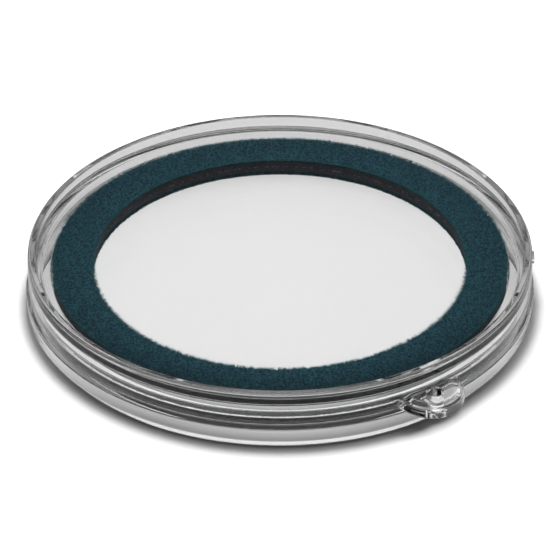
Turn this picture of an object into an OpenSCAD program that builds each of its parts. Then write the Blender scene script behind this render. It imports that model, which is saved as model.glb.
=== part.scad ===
// Round two-part coin capsule with a velvet-faced ring inside and a hanging lug.
// Millimetres, +Z up. The origin is on the capsule's axis, at the bottom lip's face,
// which is the face that the capsule lies on.

/* [Overall] */
// Outside diameter of the lid
lid_d = 51.9; // [44:0.1:70]
// Thickness of the closed capsule, from the bottom lip to the top lip
capsule_h = 6.6; // [6.2:0.1:9]
// How far the base's flange stands out past the lid
flange_proud = 0.23; // [0.22:0.01:0.5]

/* [Windows and lips] */
// Thickness of the clear window in each half
window_t = 0.8; // [0.6:0.05:1]
// Depth of the recess inside the top lip
top_recess = 1.0; // [0.5:0.05:1.2]
// Depth of the recess inside the bottom lip
bottom_recess = 1.85; // [1.2:0.05:2]
// Width of the flat land on each lip
lip_w = 0.8; // [0.5:0.05:1.1]
// Width of the bevel around the bottom lip
bevel_w = 0.75; // [0.3:0.05:1]
// Height of the bevel around the bottom lip
bevel_h = 1.05; // [0.4:0.05:1.3]
// Radius that breaks the moulded edges
edge_r = 0.15; // [0.05:0.01:0.2]
// Radius around the top lip's outer edge
lip_r = 0.35; // [0.1:0.05:0.4]

/* [Nested walls] */
// Thickness of the lid's skirt
skirt_t = 1.3; // [1:0.05:1.7]
// Thickness of the base's inner wall
inner_wall_t = 1.05; // [0.7:0.05:1.5]
// Radial clearance between the base's inner wall and the lid's skirt
wall_gap = 0.05; // [0.02:0.01:0.1]
// Height of the shoulder that the lid rests on, above the bottom lip's face
shoulder_z = 2.45; // [2.3:0.05:2.7]
// Gap between the top of the base's inner wall and the lid's window
wall_headroom = 0.85; // [0.4:0.05:1]
// Height of the thumbnail groove along the seam
groove_h = 0.33; // [0.15:0.01:0.5]
// Depth of the thumbnail groove along the seam
groove_d = 0.5; // [0.2:0.05:0.8]

/* [Lug] */
// Direction that the lug points, turned from +X
lug_angle = -55; // [-180:5:180]
// Radius of the lug's round end
lug_r = 3.4; // [2.4:0.1:4]
// Thickness of the lug
lug_t = 1.5; // [1:0.1:2]
// Distance from the lid's outside wall to the centre of the lug's round end
lug_reach = 0.35; // [0:0.05:1.5]
// Diameter of the cord hole in the lug
hole_d = 1.5; // [1:0.1:2]
// Clear width between the cord hole and the base's flange
hole_clear = 0.05; // [0.02:0.01:0.5]
// Radius of the web that blends the lug into the wall
web_r = 0.8; // [0.3:0.1:1.5]

/* [Moulding gate] */
// Width of the gate mark on the lid
gate_w = 1.2; // [0.6:0.1:2]
// Height of the gate mark
gate_h = 0.8; // [0.4:0.05:1]
// How far the gate mark stands out of the lid
gate_proud = 0.2; // [0.05:0.01:0.21]

/* [Velvet ring] */
// Width of the ring's band, from the coin's edge to the ring's outside
band_w = 4.05; // [2:0.05:8]
// Radial clearance between the ring and the base's inner wall
ring_gap = 0.2; // [0.1:0.05:0.5]
// Clearance left above the ring, and below it
ring_slack = 0.05; // [0.02:0.01:0.15]
// Thickness of each velvet facing, backing and pile
facing_t = 0.45; // [0.3:0.05:0.5]

/* [Hidden] */
$fn = 160;

lid_r = lid_d / 2;
flange_r = lid_r + flange_proud;

// Heights, from the bottom lip up
floor_z = bottom_recess + window_t;
window_top_z = capsule_h - top_recess;
window_z = window_top_z - window_t;
skirt_z = shoulder_z + groove_h;
wall_top_z = window_z - wall_headroom;

// Radii, from the outside in
skirt_ri = lid_r - skirt_t;
wall_ro = skirt_ri - wall_gap;
wall_ri = wall_ro - inner_wall_t;
ring_ro = wall_ri - ring_gap;
ring_ri = ring_ro - band_w;
foot_r = flange_r - bevel_w;

// The ring's layers
ring_z = floor_z + ring_slack;
ring_t = window_z - floor_z - 2 * ring_slack;
ply_t = ring_t / 2 - facing_t;

// The lug
lug_centre = lid_r + lug_reach;
lug_root_r = lid_r - groove_d;
lug_edge_r = lug_t / 4;
hole_r = hole_d / 2;
hole_centre = flange_r + hole_clear + hole_r;
overlap = 0.05;

// A square corner of size r less the circle that rounds it. The corner is at the origin
// and its body lies along -X and -Y.
module corner_cut(r) {
    translate([-r, -r])
        difference() {
            square(r + overlap);
            circle(r);
        }
}

// Section of the base, right of the axis
module base_section() {
    difference() {
        polygon([[0, bottom_recess], [foot_r - lip_w, bottom_recess],
                 [foot_r - lip_w, 0], [foot_r, 0], [flange_r, bevel_h],
                 [flange_r, shoulder_z], [wall_ro, shoulder_z],
                 [wall_ro, wall_top_z], [wall_ri, wall_top_z],
                 [wall_ri, floor_z], [0, floor_z]]);
        translate([flange_r, shoulder_z])
            corner_cut(edge_r);
        translate([wall_ro, wall_top_z])
            corner_cut(edge_r);
        translate([wall_ri, wall_top_z])
            mirror([1, 0])
                corner_cut(edge_r);
    }
}

// Section of the lid, right of the axis
module lid_section() {
    difference() {
        polygon([[0, window_z], [skirt_ri, window_z], [skirt_ri, shoulder_z],
                 [lid_r - groove_d, shoulder_z], [lid_r - groove_d, skirt_z],
                 [lid_r, skirt_z], [lid_r, capsule_h], [lid_r - lip_w, capsule_h],
                 [lid_r - lip_w, window_top_z], [0, window_top_z]]);
        translate([lid_r, capsule_h])
            corner_cut(lip_r);
        translate([lid_r - lip_w, capsule_h])
            mirror([1, 0])
                corner_cut(edge_r);
    }
}

// One of the two webs that blend the lug's round end into the wall. The blend's circle
// touches both the wall and the round end, so its centre is fixed by two distances.
module lug_web(side) {
    to_axis = lid_r + web_r;
    to_lug = lug_r + web_r;
    turn = acos((lug_centre * lug_centre + to_axis * to_axis - to_lug * to_lug)
                / (2 * lug_centre * to_axis));
    centre = to_axis * [cos(turn), side * sin(turn)];
    on_wall = (lid_r - overlap) * [cos(turn), side * sin(turn)];
    on_lug = [lug_centre, 0] + (centre - [lug_centre, 0]) * (lug_r - overlap) / to_lug;
    difference() {
        polygon([[lug_root_r, 0], on_wall, centre, on_lug]);
        translate(centre)
            circle(web_r);
    }
}

// The lug without its hole, pointing along +X
module lug() {
    difference() {
        union() {
            translate([lug_centre, 0, skirt_z])
                rotate_extrude()
                    difference() {
                        square([lug_r, lug_t]);
                        translate([lug_r, lug_t])
                            corner_cut(lug_edge_r);
                        translate([lug_r, 0])
                            mirror([0, 1])
                                corner_cut(lug_edge_r);
                    }
            for (side = [-1, 1])
                translate([0, 0, skirt_z])
                    linear_extrude(lug_t)
                        lug_web(side);
        }
        translate([0, 0, skirt_z - overlap])
            cylinder(r = lug_root_r, h = lug_t + 2 * overlap);
    }
}

// Base half: window, bevelled flange, shoulder and inner wall
module base_shell() {
    color([0.86, 0.9, 0.91, 0.4])
        rotate_extrude()
            base_section();
}

// Lid half: window, top lip, skirt, hanging lug and gate mark
module lid_shell() {
    color([0.86, 0.9, 0.91, 0.4])
        difference() {
            union() {
                rotate_extrude()
                    lid_section();
                rotate([0, 0, lug_angle])
                    lug();
                translate([lug_root_r, -gate_w / 2, window_top_z - gate_h / 2])
                    cube([lid_r + gate_proud - lug_root_r, gate_w, gate_h]);
            }
            rotate([0, 0, lug_angle])
                translate([hole_centre, 0, skirt_z - overlap])
                    cylinder(r = hole_r, h = lug_t + 2 * overlap);
        }
}

// One flat layer of the ring
module flat_ring(z, t) {
    translate([0, 0, z])
        rotate_extrude()
            translate([ring_ri, 0])
                square([band_w, t]);
}

// Lower of the two foam rings that make up the core
module foam_ring_lower() {
    color([0.07, 0.06, 0.08])
        flat_ring(ring_z + facing_t, ply_t);
}

// Upper of the two foam rings that make up the core
module foam_ring_upper() {
    color([0.07, 0.06, 0.08])
        flat_ring(ring_z + facing_t + ply_t, ply_t);
}

// Velvet facing glued under the lower foam ring, pile down
module velvet_facing_lower() {
    color([0.03, 0.17, 0.19])
        flat_ring(ring_z, facing_t);
}

// Velvet facing glued on the upper foam ring, pile up
module velvet_facing_upper() {
    color([0.03, 0.17, 0.19])
        flat_ring(ring_z + facing_t + 2 * ply_t, facing_t);
}

base_shell();
lid_shell();
foam_ring_lower();
foam_ring_upper();
velvet_facing_lower();
velvet_facing_upper();
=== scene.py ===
import math

import bmesh
import bpy
import numpy as np
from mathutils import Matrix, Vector


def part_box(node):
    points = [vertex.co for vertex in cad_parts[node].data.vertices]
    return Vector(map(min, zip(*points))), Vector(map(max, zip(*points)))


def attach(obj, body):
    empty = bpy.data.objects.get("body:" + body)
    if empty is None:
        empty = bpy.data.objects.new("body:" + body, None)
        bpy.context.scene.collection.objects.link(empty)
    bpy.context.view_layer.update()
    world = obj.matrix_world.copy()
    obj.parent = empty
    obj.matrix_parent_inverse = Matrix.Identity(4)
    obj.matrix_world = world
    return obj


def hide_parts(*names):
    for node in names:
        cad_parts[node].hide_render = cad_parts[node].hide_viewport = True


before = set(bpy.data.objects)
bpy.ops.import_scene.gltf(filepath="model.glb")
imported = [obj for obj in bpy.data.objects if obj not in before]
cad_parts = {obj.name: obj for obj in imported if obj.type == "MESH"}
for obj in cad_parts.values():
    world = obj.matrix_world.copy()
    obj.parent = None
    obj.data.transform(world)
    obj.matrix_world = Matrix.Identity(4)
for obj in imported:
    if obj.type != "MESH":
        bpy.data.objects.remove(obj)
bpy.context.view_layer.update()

# Sizes in metres. What the frame's boxes give is read from them.
MM = 0.001
BASE_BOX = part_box("base_shell")
LID_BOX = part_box("lid_shell")
UPPER_VELVET_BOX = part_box("velvet_facing_upper")
LOWER_VELVET_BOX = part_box("velvet_facing_lower")
UPPER_FOAM_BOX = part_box("foam_ring_upper")
LOWER_FOAM_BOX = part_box("foam_ring_lower")

FLANGE_R = BASE_BOX[1].x
CAPSULE_H = LID_BOX[1].z
WALL_TOP_Z = BASE_BOX[1].z
SHOULDER_Z = LID_BOX[0].z
RING_RO = UPPER_VELVET_BOX[1].x

FLANGE_PROUD = 0.23 * MM
WINDOW_T = 0.8 * MM
TOP_RECESS = 1.0 * MM
BOTTOM_RECESS = 1.85 * MM
LIP_W = 0.8 * MM
LIP_R = 0.35 * MM
BEVEL_W = 0.75 * MM
BEVEL_H = 1.05 * MM
SKIRT_T = 1.3 * MM
WALL_GAP = 0.05 * MM
INNER_WALL_T = 1.05 * MM
GROOVE_H = 0.33 * MM
GROOVE_D = 0.5 * MM
RING_RI = 19.3 * MM

LID_R = FLANGE_R - FLANGE_PROUD
WINDOW_TOP_Z = CAPSULE_H - TOP_RECESS
WINDOW_Z = WINDOW_TOP_Z - WINDOW_T
FLOOR_Z = BOTTOM_RECESS + WINDOW_T
SKIRT_Z = SHOULDER_Z + GROOVE_H
SKIRT_RI = LID_R - SKIRT_T
WALL_RO = SKIRT_RI - WALL_GAP
WALL_RI = WALL_RO - INNER_WALL_T
FOOT_R = FLANGE_R - BEVEL_W

# Radii that break the moulded edges
SHARP_R = 0.04 * MM
EDGE_R = 0.15 * MM
FILLET_R = 0.2 * MM

LUG_ANGLE = math.radians(-55)
LUG_R = 3.4 * MM
LUG_T = 1.5 * MM
LUG_REACH = 0.35 * MM
WEB_R = 0.8 * MM
HOLE_R = 0.75 * MM
HOLE_CLEAR = 0.05 * MM
LUG_CENTRE = LID_R + LUG_REACH
LUG_ROOT_R = LID_R - 0.6 * MM
LUG_TOP_Z = SKIRT_Z + LUG_T
HOLE_CENTRE = FLANGE_R + HOLE_CLEAR + HOLE_R

GATE_W = 1.2 * MM
GATE_H = 0.8 * MM
GATE_PROUD = 0.2 * MM

# The velvet's pile
TUFTS_PER_MM2 = 80
EDGE_TUFTS = 4200

CAMERA_ELEVATION = math.radians(34.1)

# How finely round shapes are drawn, and which edges are rounded or stay sharp
TURN_STEPS = 384
ARC_STEP = math.radians(11)
SOFTENED_ABOVE = math.radians(50)
SHARP_ABOVE = math.radians(24)

# The distance from the axis that the end of a lamp share's ramp stands for
RAMP_REACH = 30 * MM


# ---------------------------------------------------------------- mesh helpers


def link(name, mesh):
    """Puts a mesh into the scene as a piece of its own."""
    piece = bpy.data.objects.new(name, mesh)
    bpy.context.scene.collection.objects.link(piece)
    return piece


def link_built(name, built):
    """Puts a finished bmesh into the scene as a piece of its own."""
    data = bpy.data.meshes.new(name)
    built.to_mesh(data)
    built.free()
    return link(name, data)


def rounded(corners, closed):
    """An outline in the (radius, height) plane, from (r, z, corner radius) entries."""
    count = len(corners)
    outline = []
    for i, (r, z, size) in enumerate(corners):
        here = Vector((r, z))
        ends = not closed and i in (0, count - 1)
        if ends or size == 0:
            outline.append((r, z))
            continue
        before = (Vector(corners[i - 1][:2]) - here).normalized()
        after = (Vector(corners[(i + 1) % count][:2]) - here).normalized()
        opening = before.angle(after)
        reach = size / math.tan(opening / 2)
        centre = here + (before + after).normalized() * size / math.sin(opening / 2)
        start = here + before * reach - centre
        sweep = math.pi - opening
        side = 1 if before.x * after.y - before.y * after.x < 0 else -1
        steps = max(2, math.ceil(sweep / ARC_STEP))
        for k in range(steps + 1):
            a = side * sweep * k / steps
            turned = Vector((start.x * math.cos(a) - start.y * math.sin(a),
                             start.x * math.sin(a) + start.y * math.cos(a)))
            outline.append(tuple(centre + turned))
    return outline


def lathe(name, corners, closed):
    """Turns a rounded outline about the Z axis. An open outline starts and ends on the axis."""
    turns = [2 * math.pi * k / TURN_STEPS for k in range(TURN_STEPS)]
    mesh = bmesh.new()
    rings = []
    for r, z in rounded(corners, closed):
        if r == 0:
            rings.append([mesh.verts.new((0, 0, z))] * TURN_STEPS)
        else:
            rings.append([mesh.verts.new((r * math.cos(a), r * math.sin(a), z)) for a in turns])
    following = rings[1:] + rings[:1] if closed else rings[1:]
    for low, high in zip(rings, following):
        for k in range(TURN_STEPS):
            n = (k + 1) % TURN_STEPS
            face = list(dict.fromkeys((low[k], low[n], high[n], high[k])))
            mesh.faces.new(face)
    bmesh.ops.recalc_face_normals(mesh, faces=mesh.faces)
    return link_built(name, mesh)


def prism(name, outline, low, high):
    """A closed upright prism over a plan outline."""
    mesh = bmesh.new()
    face = mesh.faces.new([mesh.verts.new((x, y, low)) for x, y in outline])
    top = bmesh.ops.extrude_face_region(mesh, geom=[face])["geom"]
    top_points = [v for v in top if isinstance(v, bmesh.types.BMVert)]
    bmesh.ops.translate(mesh, verts=top_points, vec=(0, 0, high - low))
    bmesh.ops.recalc_face_normals(mesh, faces=mesh.faces)
    return link_built(name, mesh)


def arc(centre, radius, start, end, steps):
    """Points along an arc in the plan, with both of its ends."""
    angles = [start + (end - start) * k / steps for k in range(steps + 1)]
    return [(centre.x + radius * math.cos(a), centre.y + radius * math.sin(a)) for a in angles]


def ring_of_points(radius, count):
    """Points evenly round a circle about the axis."""
    angles = [2 * math.pi * k / count for k in range(count)]
    return [(radius * math.cos(a), radius * math.sin(a)) for a in angles]


def move_along_x(piece, distance):
    """Moves a piece's own mesh along X."""
    for v in piece.data.vertices:
        v.co.x += distance


def turn_about_axis(piece, angle):
    """Turns a piece's own mesh about the Z axis."""
    for v in piece.data.vertices:
        x, y = v.co.x, v.co.y
        v.co.x = x * math.cos(angle) - y * math.sin(angle)
        v.co.y = x * math.sin(angle) + y * math.cos(angle)


def bake_modifiers(piece):
    """Replaces the piece's mesh by what its modifiers make of it."""
    graph = bpy.context.evaluated_depsgraph_get()
    made = bpy.data.meshes.new_from_object(piece.evaluated_get(graph))
    piece.modifiers.clear()
    piece.data = made
    piece.data.name = piece.name


def soften(piece, width, segments):
    """Rounds a piece's edges, where its faces meet at a large enough angle."""
    bevel = piece.modifiers.new("soften", "BEVEL")
    bevel.width = width
    bevel.segments = segments
    bevel.limit_method = "ANGLE"
    bevel.angle_limit = SOFTENED_ABOVE
    bake_modifiers(piece)


def combine(piece, other, operation):
    """Joins the other solid to the piece, or cuts it out, and removes the other."""
    cut = piece.modifiers.new("combine", "BOOLEAN")
    cut.operation = operation
    cut.object = other
    cut.solver = "EXACT"
    bake_modifiers(piece)
    bpy.data.objects.remove(other)


def smooth(piece):
    """Smooth rounds and flat flats: sharp edges by angle, and normals weighted by area."""
    piece.data.shade_smooth()
    piece.data.set_sharp_from_angle(angle=SHARP_ABOVE)
    weighted = piece.modifiers.new("flat_flats", "WEIGHTED_NORMAL")
    weighted.mode = "FACE_AREA"
    weighted.weight = 90
    weighted.keep_sharp = True


# ---------------------------------------------------------------- shader helpers


def new_material(name):
    material = bpy.data.materials.new(name)
    material.use_nodes = True
    return material, material.node_tree, material.node_tree.nodes["Principled BSDF"]


def node(tree, kind, inputs=(), **settings):
    """A shader node with its settings, and its inputs set or linked."""
    made = tree.nodes.new(kind)
    for key, value in settings.items():
        setattr(made, key, value)
    for key, value in dict(inputs).items():
        if isinstance(value, bpy.types.NodeSocket):
            tree.links.new(value, made.inputs[key])
        else:
            made.inputs[key].default_value = value
    return made


def own_place(tree):
    """A point's place in its piece's own axes, which are the frame's."""
    return node(tree, "ShaderNodeTexCoord").outputs["Object"]


def part_of(tree, place, axis):
    return node(tree, "ShaderNodeSeparateXYZ", {"Vector": place}).outputs[axis]


def from_axis(tree, place):
    """A place's distance from the Z axis."""
    flat = node(tree, "ShaderNodeVectorMath", {0: place, 1: (1, 1, 0)}, operation="MULTIPLY")
    length = node(tree, "ShaderNodeVectorMath", {0: flat.outputs["Vector"]}, operation="LENGTH")
    return length.outputs["Value"]


def maths(tree, operation, *values):
    return node(tree, "ShaderNodeMath", enumerate(values), operation=operation).outputs["Value"]


def ranged(tree, value, start, end, low=0, high=1):
    """Runs from low to high while the value runs from start to end, and stops there."""
    ends = {"Value": value, "From Min": start, "From Max": end, "To Min": low, "To Max": high}
    return node(tree, "ShaderNodeMapRange", ends).outputs["Result"]


def noise(tree, place, scale, detail):
    texture = node(tree, "ShaderNodeTexNoise", {"Vector": place, "Scale": scale, "Detail": detail})
    return texture.outputs["Fac"]


def seeded_noise(tree, place, scale, detail, seed):
    """Noise that differs from seed to seed."""
    inputs = {"Vector": place, "W": seed, "Scale": scale, "Detail": detail}
    return node(tree, "ShaderNodeTexNoise", inputs, noise_dimensions="4D").outputs["Fac"]


def grey(tone):
    return (tone, tone, tone, 1)


def ramp(tree, value, stops):
    """A colour ramp, from (position, colour) stops in rising order."""
    made = node(tree, "ShaderNodeValToRGB", {"Fac": value})
    elements = made.color_ramp.elements
    for element, (position, colour) in zip(list(elements), (stops[0], stops[-1])):
        element.position = position
        element.color = colour
    for position, colour in stops[1:-1]:
        elements.new(position).color = colour
    return made.outputs["Color"]


def mixed(tree, factor, first, second):
    """A colour between the first and the second."""
    inputs = {0: factor, 6: first, 7: second}
    return node(tree, "ShaderNodeMix", inputs, data_type="RGBA").outputs[2]


def bump(tree, shader, height, strength, distance):
    relief = {"Height": height, "Strength": strength, "Distance": distance}
    tree.links.new(node(tree, "ShaderNodeBump", relief).outputs["Normal"], shader.inputs["Normal"])


# ---------------------------------------------------------------- materials


def lamp_share(tree, along, wall, skin):
    """The share of a lamp's light that a face passes, by its distance from the axis over RAMP_REACH."""
    window_r = 20.49 * MM
    wall_end_r = 25.05 * MM
    skin_r = 25.5 * MM
    skin_end_r = 26.25 * MM
    lug_r = 26.7 * MM
    shares = ((window_r, 0.96), (WALL_RI, wall), (wall_end_r, wall),
              (skin_r, skin), (skin_end_r, skin), (lug_r, 0.99))
    return ramp(tree, along, [(r / RAMP_REACH, grey(share)) for r, share in shares])


def acrylic(name, seed):
    """Clear polished acrylic, with the faint flow and handling marks of a moulding.

    A lamp's light goes nearly whole through the middle of the windows and through the lug. Less of
    it gets through the rim, and least through the rim's outer skin, where real acrylic bends it away.
    """
    material, tree, shader = new_material(name)
    shader.inputs["Base Color"].default_value = (1, 1, 1, 1)
    shader.inputs["Transmission Weight"].default_value = 1
    shader.inputs["IOR"].default_value = 1.49
    place = own_place(tree)
    flow = seeded_noise(tree, place, scale=90, detail=2, seed=seed)
    handling = seeded_noise(tree, place, scale=700, detail=6, seed=seed + 5)
    haze = ranged(tree, handling, start=0.5, end=0.8, low=0.0, high=0.03)
    tree.links.new(haze, shader.inputs["Roughness"])
    bump(tree, shader, flow, strength=0.03, distance=0.4 * MM)
    along = maths(tree, "DIVIDE", from_axis(tree, place), RAMP_REACH)
    # Painted shade: on the front side the rim lets less lamp light through, so the floor under and
    # before the capsule's front lies in a deeper shadow.
    painted_front_shade = ranged(tree, part_of(tree, place, "Y"), start=-8 * MM, end=-20 * MM)
    passed = mixed(tree, painted_front_shade,
                   lamp_share(tree, along, wall=0.88, skin=0.35),
                   lamp_share(tree, along, wall=0.64, skin=0.3))
    through = node(tree, "ShaderNodeBsdfTransparent", {"Color": passed})
    to_lamp = node(tree, "ShaderNodeLightPath").outputs["Is Shadow Ray"]
    mix = node(tree, "ShaderNodeMixShader", {0: to_lamp, 1: shader.outputs[0], 2: through.outputs[0]})
    tree.links.new(mix.outputs[0], tree.nodes["Material Output"].inputs["Surface"])
    return material


def velvet(name):
    """Dark teal pile, brighter and greener where the noise lifts it, with a painted edge light where its
    edges thin out.
    """
    deep_teal = (0.008, 0.05, 0.08, 1)
    lit_teal = (0.06, 0.24, 0.31, 1)
    painted_edge_light_teal = (0.05, 0.26, 0.27, 1)
    material, tree, shader = new_material(name)
    place = own_place(tree)
    patches = noise(tree, place, scale=4500, detail=5)
    tones = ramp(tree, patches, [(0.38, deep_teal), (0.64, lit_teal)])
    # Painted edge light: near the ring's inner and outer edges the pile is tinted a brighter green teal.
    middle = (RING_RI + RING_RO) / 2
    off_middle = maths(tree, "ABSOLUTE", maths(tree, "SUBTRACT", from_axis(tree, place), middle))
    painted_edge_light = ranged(tree, off_middle, start=1.8 * MM, end=2.3 * MM, high=0.8)
    tree.links.new(mixed(tree, painted_edge_light, tones, painted_edge_light_teal), shader.inputs["Base Color"])
    shader.inputs["Roughness"].default_value = 0.85
    shader.inputs["Specular IOR Level"].default_value = 0.2
    shader.inputs["Sheen Weight"].default_value = 0.05
    shader.inputs["Sheen Roughness"].default_value = 0.4
    shader.inputs["Sheen Tint"].default_value = (0.1, 0.5, 0.55, 1)
    return material


def foam(name):
    """Charcoal closed-cell foam, with the fine cells that a die cut leaves open.

    Specks of glue show along the joint between the two plies.
    """
    cell_dark = (0.09, 0.1, 0.13, 1)
    cell_light = (0.22, 0.24, 0.31, 1)
    glue_grey = (0.5, 0.52, 0.6, 1)
    material, tree, shader = new_material(name)
    place = own_place(tree)
    cells = node(tree, "ShaderNodeTexVoronoi", {"Vector": place, "Scale": 5000}).outputs["Distance"]
    tones = ramp(tree, cells, [(0, cell_dark), (1, cell_light)])
    over_joint = maths(tree, "SUBTRACT", part_of(tree, place, "Z"), UPPER_FOAM_BOX[0].z)
    off_joint = maths(tree, "ABSOLUTE", over_joint)
    near_joint = ranged(tree, off_joint, start=0.04 * MM, end=0.09 * MM, low=1, high=0)
    specks = ranged(tree, noise(tree, place, scale=2200, detail=2), start=0.5, end=0.62)
    glue = maths(tree, "MULTIPLY", near_joint, specks)
    tree.links.new(mixed(tree, glue, tones, glue_grey), shader.inputs["Base Color"])
    shader.inputs["Roughness"].default_value = 0.8
    bump(tree, shader, cells, strength=0.4, distance=0.05 * MM)
    return material


def table_white(name):
    """The table's white.

    It shows darker in a mirroring face, and behind the capsule where it is seen through the rim.
    The photo's table was whitened around the capsule, but not inside its outline.
    """
    material, tree, shader = new_material(name)
    shader.inputs["Roughness"].default_value = 0.9
    shader.inputs["Specular IOR Level"].default_value = 0.0
    path = node(tree, "ShaderNodeLightPath").outputs
    place = own_place(tree)
    outside = ranged(tree, from_axis(tree, place), start=25.5 * MM, end=27 * MM)
    rear = ranged(tree, part_of(tree, place, "Y"), start=-8 * MM, end=8 * MM)
    behind = maths(tree, "MULTIPLY", outside, rear)
    through_rim = maths(tree, "MULTIPLY", behind, path["Transmission Depth"])
    darkened = maths(tree, "MAXIMUM", through_rim, path["Glossy Depth"])
    tone = ranged(tree, darkened, start=0, end=1, low=0.9, high=0.42)
    tree.links.new(tone, shader.inputs["Base Color"])
    return material


# ---------------------------------------------------------------- clear shells


def make_base():
    """The lower moulding: window, lip, bevelled flange, shoulder and inner wall."""
    lip_ri = FOOT_R - LIP_W
    lip_edge_r = 0.1 * MM
    bevel_edge_r = 0.5 * MM
    base = lathe("base_clear_shell", [
        (0, BOTTOM_RECESS, 0),
        (lip_ri, BOTTOM_RECESS, FILLET_R),
        (lip_ri, 0, lip_edge_r),
        (FOOT_R, 0, FILLET_R),
        (FLANGE_R, BEVEL_H, bevel_edge_r),
        (FLANGE_R, SHOULDER_Z, EDGE_R),
        (WALL_RO, SHOULDER_Z, SHARP_R),
        (WALL_RO, WALL_TOP_Z, EDGE_R),
        (WALL_RI, WALL_TOP_Z, EDGE_R),
        (WALL_RI, FLOOR_Z, EDGE_R),
        (0, FLOOR_Z, 0),
    ], closed=False)
    smooth(base)
    return base


def lug_outline():
    """Plan of the lug pointing along +X: a round end, and a hollow web on each side.

    The round end is drawn a little short, so that it stays inside the dome's.
    """
    web_steps = 8
    end_steps = 40
    short = 0.02 * MM
    to_axis = LID_R + WEB_R
    to_lug = LUG_R + WEB_R
    turn = math.acos((LUG_CENTRE**2 + to_axis**2 - to_lug**2) / (2 * LUG_CENTRE * to_axis))
    web = Vector((to_axis * math.cos(turn), to_axis * math.sin(turn)))
    to_end = math.atan2(-web.y, LUG_CENTRE - web.x)
    upper = [(LUG_ROOT_R * math.cos(turn), LUG_ROOT_R * math.sin(turn))]
    upper += arc(web, WEB_R, turn - math.pi, to_end, web_steps)
    for k in range(1, end_steps + 1):
        a = (to_end + math.pi) * (1 - k / end_steps)
        upper.append((LUG_CENTRE + LUG_R * math.cos(a) - short, (LUG_R - short) * math.sin(a)))
    return upper + [(x, -y) for x, y in reversed(upper[:-1])]


def make_dome():
    """The lug's round end, domed on top and cut off inside the lid's wall."""
    brow_z = SKIRT_Z + 0.9 * MM
    crown_r = 0.72 * LUG_R
    foot_edge_r = 0.4 * MM
    brow_edge_r = 0.35 * MM
    crown_edge_r = 1.2 * MM
    dome = lathe("dome", [
        (0, SKIRT_Z, 0),
        (LUG_R, SKIRT_Z, foot_edge_r),
        (LUG_R, brow_z, brow_edge_r),
        (crown_r, LUG_TOP_Z, crown_edge_r),
        (0, LUG_TOP_Z, 0),
    ], closed=False)
    move_along_x(dome, LUG_CENTRE)
    inside = prism("inside", ring_of_points(LUG_ROOT_R, count=96),
                   low=SKIRT_Z - MM, high=LUG_TOP_Z + MM)
    combine(dome, inside, "DIFFERENCE")
    return dome


def make_hole_cutter():
    """What the lug's hole takes away: a bore whose rims flare out, longer than the lug is thick."""
    rim = 0.12 * MM
    far = 0.3 * MM
    hole = lathe("hole", [
        (0, SKIRT_Z - far, 0),
        (HOLE_R + rim + far, SKIRT_Z - far, 0),
        (HOLE_R + rim, SKIRT_Z, 0),
        (HOLE_R, SKIRT_Z + rim, rim),
        (HOLE_R, LUG_TOP_Z - rim, rim),
        (HOLE_R + rim, LUG_TOP_Z, 0),
        (HOLE_R + rim + far, LUG_TOP_Z + far, 0),
        (0, LUG_TOP_Z + far, 0),
    ], closed=False)
    move_along_x(hole, HOLE_CENTRE)
    return hole


def make_lug():
    """The lug: a domed round end over its webs, and a hole whose rims are rounded."""
    lug = prism("lug", lug_outline(), low=SKIRT_Z + 0.1 * MM, high=LUG_TOP_Z - 0.3 * MM)
    soften(lug, width=0.3 * MM, segments=5)
    combine(lug, make_dome(), "UNION")
    combine(lug, make_hole_cutter(), "DIFFERENCE")
    turn_about_axis(lug, LUG_ANGLE)
    return lug


def make_gate_mark():
    """The small block that the moulding gate leaves on the lid's wall."""
    root = LID_R - 0.4 * MM
    end = LID_R + GATE_PROUD
    half = GATE_W / 2
    gate = prism("gate", [(root, -half), (end, -half), (end, half), (root, half)],
                 low=WINDOW_TOP_Z - GATE_H / 2, high=WINDOW_TOP_Z + GATE_H / 2)
    soften(gate, width=0.06 * MM, segments=3)
    return gate


def make_lid():
    """The upper moulding: window, raised lip, skirt, hanging lug and gate mark."""
    lip_ri = LID_R - LIP_W
    groove_ri = LID_R - GROOVE_D
    lip_edge_r = 0.12 * MM
    groove_edge_r = 0.08 * MM
    skirt_edge_r = 0.05 * MM
    lid = lathe("lid_clear_shell", [
        (0, WINDOW_Z, 0),
        (SKIRT_RI, WINDOW_Z, EDGE_R),
        (SKIRT_RI, SHOULDER_Z, skirt_edge_r),
        (groove_ri, SHOULDER_Z, SHARP_R),
        (groove_ri, SKIRT_Z, SHARP_R),
        (LID_R, SKIRT_Z, groove_edge_r),
        (LID_R, CAPSULE_H, LIP_R),
        (lip_ri, CAPSULE_H, lip_edge_r),
        (lip_ri, WINDOW_TOP_Z, FILLET_R),
        (0, WINDOW_TOP_Z, 0),
    ], closed=False)
    combine(lid, make_lug(), "UNION")
    combine(lid, make_gate_mark(), "UNION")
    smooth(lid)
    return lid


# ---------------------------------------------------------------- velvet ring


def ring_outline(low, high, edge_r, draw=0.0):
    """Section of a flat layer of the ring, drawn in by a little on both sides if need be."""
    return [
        (RING_RI + draw, low, edge_r),
        (RING_RO - draw, low, edge_r),
        (RING_RO - draw, high, edge_r),
        (RING_RI + draw, high, edge_r),
    ]


def make_tufts(name, root, point, width, rng):
    """Thin three-sided cones from their root points to their tips."""
    count = len(root)
    spin = rng.uniform(0, 2 * math.pi, count)
    vertices = np.empty((count, 4, 3))
    for k in range(3):
        turn = spin + k * 2 * math.pi / 3
        foot = np.stack([width * np.cos(turn), width * np.sin(turn), np.zeros(count)], axis=1)
        vertices[:, k] = root + foot
    vertices[:, 3] = point
    base = np.arange(count)[:, None, None] * 4
    faces = (base + np.array([[0, 1, 3], [1, 2, 3], [2, 0, 3]])[None]).reshape(-1, 3)
    data = bpy.data.meshes.new(name)
    data.from_pydata(vertices.reshape(-1, 3).tolist(), [], faces.tolist())
    data.shade_smooth()
    return link(name, data)


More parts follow.
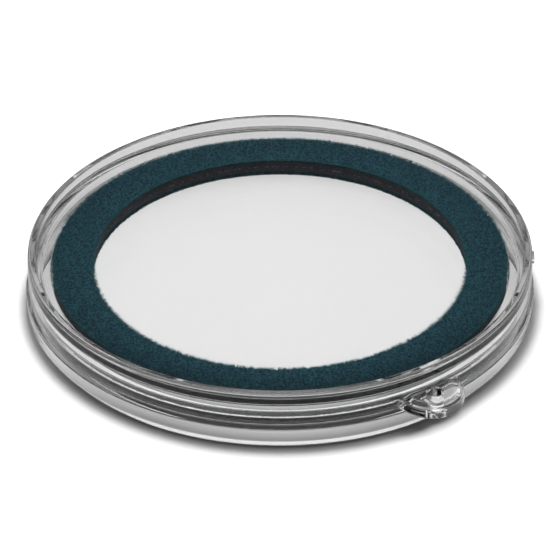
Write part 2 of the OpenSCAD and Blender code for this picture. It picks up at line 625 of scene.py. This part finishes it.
def make_pile(name, ground, tip, seed):
    """Short tapered tufts on a facing's backing, and along its edges longer ones that lean out."""
    rng = np.random.default_rng(seed)
    edge_band = 0.12 * MM
    count = int(TUFTS_PER_MM2 * math.pi * (RING_RO**2 - RING_RI**2) / MM**2)
    inner = slice(count, count + EDGE_TUFTS)
    edges = slice(count, count + 2 * EDGE_TUFTS)
    r = np.concatenate([
        np.sqrt(rng.uniform(RING_RI**2, RING_RO**2, count)),
        RING_RI + rng.uniform(0, edge_band, EDGE_TUFTS),
        RING_RO - rng.uniform(0, edge_band, EDGE_TUFTS),
    ])
    total = len(r)
    a = rng.uniform(0, 2 * math.pi, total)
    out = np.stack([np.cos(a), np.sin(a), np.zeros(total)], axis=1)
    along = np.stack([-np.sin(a), np.cos(a), np.zeros(total)], axis=1)
    deep = abs(tip - ground)
    edge_reach = 2.1 * deep
    edge_thickening = 1.15
    up = 1 if tip > ground else -1
    height = deep * rng.uniform(0.72, 1.0, total)
    lean_out = rng.normal(0, 0.22, total) * deep
    lean_along = rng.normal(0, 0.25, total) * deep
    lean_out[edges] = rng.uniform(0.1, 1.0, 2 * EDGE_TUFTS) * edge_reach
    lean_out[inner] *= -1
    height[edges] *= rng.uniform(0.3, 1.0, 2 * EDGE_TUFTS)
    width = rng.uniform(0.035, 0.06, total) * MM
    width[edges] *= edge_thickening
    root = out * r[:, None]
    root[:, 2] = ground
    point = root + out * lean_out[:, None] + along * lean_along[:, None]
    point[:, 2] = ground + up * height
    return make_tufts(name, root, point, width, rng)


def make_facing(name, box, pile_up, backing_t, seed):
    """One velvet facing: a backing with soft edges, and its pile, which is rooted a little inside it."""
    sink = 0.02 * MM
    up = 1 if pile_up else -1
    foot, tip = (box[0].z, box[1].z) if pile_up else (box[1].z, box[0].z)
    ground = foot + up * backing_t
    low, high = sorted((foot, ground))
    backing = lathe(name, ring_outline(low, high, SHARP_R), closed=True)
    smooth(backing)
    pile = make_pile(name + "_pile", ground - up * sink, tip, seed)
    return backing, pile


def make_foam(name, box):
    """One foam ply, drawn in a little behind the velvet's edges."""
    ply = lathe(name, ring_outline(box[0].z, box[1].z, edge_r=0.06 * MM, draw=0.02 * MM), closed=True)
    smooth(ply)
    return ply


# ---------------------------------------------------------------- studio


def make_camera():
    """A long lens at the photo's angle."""
    distance = 0.6
    aim = Vector((0, 0, 2.76 * MM))
    data = bpy.data.cameras.new("camera")
    data.sensor_width = 36
    data.lens = 374
    data.clip_start = 0.01
    data.clip_end = 20
    camera = bpy.data.objects.new("camera", data)
    away = Vector((0, -math.cos(CAMERA_ELEVATION), math.sin(CAMERA_ELEVATION)))
    camera.location = aim + away * distance
    camera.rotation_euler = (-away).to_track_quat("-Z", "Y").to_euler()
    bpy.context.scene.collection.objects.link(camera)
    bpy.context.scene.camera = camera


def make_floor():
    """A white table top, a hair below the lip that the capsule lies on."""
    grid = bmesh.new()
    bmesh.ops.create_grid(grid, x_segments=1, y_segments=1, size=3)
    floor = link_built("floor", grid)
    floor.location.z = -0.02 * MM
    floor.data.materials.append(table_white("floor_white"))
    return floor


def make_softbox(name, place, size, power):
    """A round lamp aimed at the capsule."""
    lamp = bpy.data.lights.new(name, "AREA")
    lamp.shape = "DISK"
    lamp.size = size
    lamp.energy = power
    box = bpy.data.objects.new(name, lamp)
    box.location = place
    box.rotation_euler = (-Vector(place)).to_track_quat("-Z", "Y").to_euler()
    bpy.context.scene.collection.objects.link(box)
    return box


def gather(name, pieces):
    """A collection that lamps can name as what they light or what shades them."""
    collection = bpy.data.collections.new(name)
    for piece in pieces:
        collection.objects.link(piece)
    return collection


def make_light(floor, shells):
    """A wide softbox, and a lamp of the table's own that only the clear shells shade."""
    make_softbox("softbox", place=(0, 0.1, 1.0), size=1.6, power=8)
    table_lamp = make_softbox("table_lamp", place=(-0.002, 0.006, 0.14), size=0.05, power=0.26)
    table_lamp.visible_glossy = False
    table_lamp.visible_transmission = False
    table_lamp.light_linking.receiver_collection = gather("lit_by_table_lamp", [floor])
    table_lamp.light_linking.blocker_collection = gather("shades_table_lamp", shells)


def make_room():
    """A pale room, dark only behind the capsule, where the flat windows would mirror it to the camera.

    It shows in glossy and clear faces, and doesn't light matte ones.
    """
    pale = grey(0.7)
    dark = (0.04, 0.04, 0.042, 1)
    world = bpy.data.worlds.new("room")
    bpy.context.scene.world = world
    world.use_nodes = True
    tree = world.node_tree
    direction = node(tree, "ShaderNodeTexCoord").outputs["Generated"]
    card = Vector((0, math.cos(CAMERA_ELEVATION), math.sin(CAMERA_ELEVATION)))
    toward_card = node(tree, "ShaderNodeVectorMath", {0: direction, 1: card}, operation="DOT_PRODUCT")
    tones = ramp(tree, toward_card.outputs["Value"], [(0.85, pale), (0.95, dark)])
    sky = tree.nodes["Background"]
    tree.links.new(tones, sky.inputs["Color"])
    sky.inputs["Strength"].default_value = 1
    world.cycles_visibility.diffuse = False


def keep_light_direct():
    """Light goes through the clear shells straight, by the acrylic's own rule for lamps."""
    cycles = bpy.context.scene.cycles
    cycles.caustics_reflective = False
    cycles.caustics_refractive = False
    cycles.transparent_max_bounces = 24


# ---------------------------------------------------------------- the scene


def dress(piece, material, body, slot, *nodes):
    """Gives a piece its material and body, and hides the CAD nodes that it stands for. The slot argument
    is not used.
    """
    piece.data.materials.clear()
    piece.data.materials.append(material)
    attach(piece, body)
    if nodes:
        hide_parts(*nodes)


clear_base = acrylic("acrylic_base", seed=1)
clear_lid = acrylic("acrylic_lid", seed=2)
teal_velvet = velvet("velvet_teal")
charcoal_foam = foam("foam_charcoal")

make_camera()
keep_light_direct()
bpy.context.scene.view_settings.view_transform = "Standard"

base = make_base()
lid = make_lid()
dress(base, clear_base, "base", "clear_base", "base_shell")
dress(lid, clear_lid, "lid", "clear_lid", "lid_shell")

lower_ply = make_foam("foam_ring_lower_ply", LOWER_FOAM_BOX)
upper_ply = make_foam("foam_ring_upper_ply", UPPER_FOAM_BOX)
dress(lower_ply, charcoal_foam, "ring", "foam", "foam_ring_lower")
dress(upper_ply, charcoal_foam, "ring", "foam", "foam_ring_upper")

lower_backing, lower_pile = make_facing("velvet_lower", LOWER_VELVET_BOX, pile_up=False,
                                        backing_t=0.38 * MM, seed=11)
upper_backing, upper_pile = make_facing("velvet_upper", UPPER_VELVET_BOX, pile_up=True,
                                        backing_t=0.22 * MM, seed=12)
dress(lower_backing, teal_velvet, "ring", "velvet", "velvet_facing_lower")
dress(upper_backing, teal_velvet, "ring", "velvet", "velvet_facing_upper")
dress(lower_pile, teal_velvet, "ring", "velvet")
dress(upper_pile, teal_velvet, "ring", "velvet")

make_light(make_floor(), [base, lid])
make_room()
